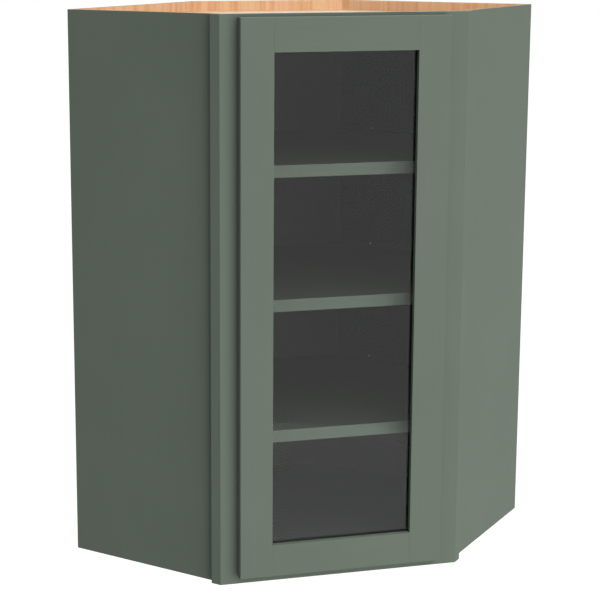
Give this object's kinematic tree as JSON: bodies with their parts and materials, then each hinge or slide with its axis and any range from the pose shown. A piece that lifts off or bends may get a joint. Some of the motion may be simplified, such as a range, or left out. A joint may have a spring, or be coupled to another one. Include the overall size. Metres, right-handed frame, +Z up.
{
  "type": "corner wall cabinet",
  "caption": "Tall diagonal corner wall cabinet with a face frame, one framed glass door on concealed hinges, and adjustable shelves.",
  "frame": {"origin": "under the middle of the bounding box, level with the cabinet's bottom edge", "axes": "+Z up, +X to the right along the diagonal face as seen from the front, -Y towards the person who opens the door; the room corner is at +Y"},
  "size_m": [0.8622, 0.5308, 0.98],
  "materials": {
    "sage_paint": "satin sage-green paint on hardwood and plywood",
    "plywood": "clear-coated plywood",
    "clear_glass": "clear float glass",
    "nickel_plated_steel": "nickel-plated pressed steel",
    "steel_fittings": "zinc-plated steel",
    "clear_plastic": "clear soft plastic"
  },
  "bodies": {
    "cabinet": {"bottom_panel": "plywood", "corner_back_panel": "plywood", "frame_bottom_rail": "sage_paint", "frame_left_stile": "sage_paint", "frame_right_stile": "sage_paint", "frame_top_rail": "sage_paint", "left_back_panel": "plywood", "left_lower_hanging_rail": "plywood", "left_side_panel": "sage_paint", "left_upper_hanging_rail": "plywood", "lower_hinge_arm": "nickel_plated_steel", "lower_shelf_pins": "steel_fittings", "middle_hinge_arm": "nickel_plated_steel", "middle_shelf_pins": "steel_fittings", "right_back_panel": "plywood", "right_lower_hanging_rail": "plywood", "right_side_panel": "sage_paint", "right_upper_hanging_rail": "plywood", "top_panel": "plywood", "upper_hinge_arm": "nickel_plated_steel", "upper_shelf_pins": "steel_fittings"},
    "door": {"door_bottom_rail": "sage_paint", "door_bumpers": "clear_plastic", "door_left_stile": "sage_paint", "door_right_stile": "sage_paint", "door_top_rail": "sage_paint", "glass_bottom_stop": "sage_paint", "glass_left_stop": "sage_paint", "glass_pane": "clear_glass", "glass_right_stop": "sage_paint", "glass_top_stop": "sage_paint", "hinge_pins": "steel_fittings", "lower_hinge_cup": "nickel_plated_steel", "middle_hinge_cup": "nickel_plated_steel", "upper_hinge_cup": "nickel_plated_steel"},
    "lower_shelf": {"lower_shelf": "sage_paint"},
    "middle_shelf": {"middle_shelf": "sage_paint"},
    "upper_shelf": {"upper_shelf": "sage_paint"}
  },
  "joints": [
    {"name": "door_hinge", "type": "hinge", "parent": "cabinet", "child": "door", "pos_m": [0.17023, -0.25581, 0.49], "axis": [0, 0, 1], "range_deg": [0, 100]},
    {"name": "lower_shelf_lift", "type": "slide", "parent": "cabinet", "child": "lower_shelf", "axis": [0, 0, 1], "range_m": [0, 0.03]},
    {"name": "middle_shelf_lift", "type": "slide", "parent": "cabinet", "child": "middle_shelf", "axis": [0, 0, 1], "range_m": [0, 0.03]},
    {"name": "upper_shelf_lift", "type": "slide", "parent": "cabinet", "child": "upper_shelf", "axis": [0, 0, 1], "range_m": [0, 0.03]}
  ]
}
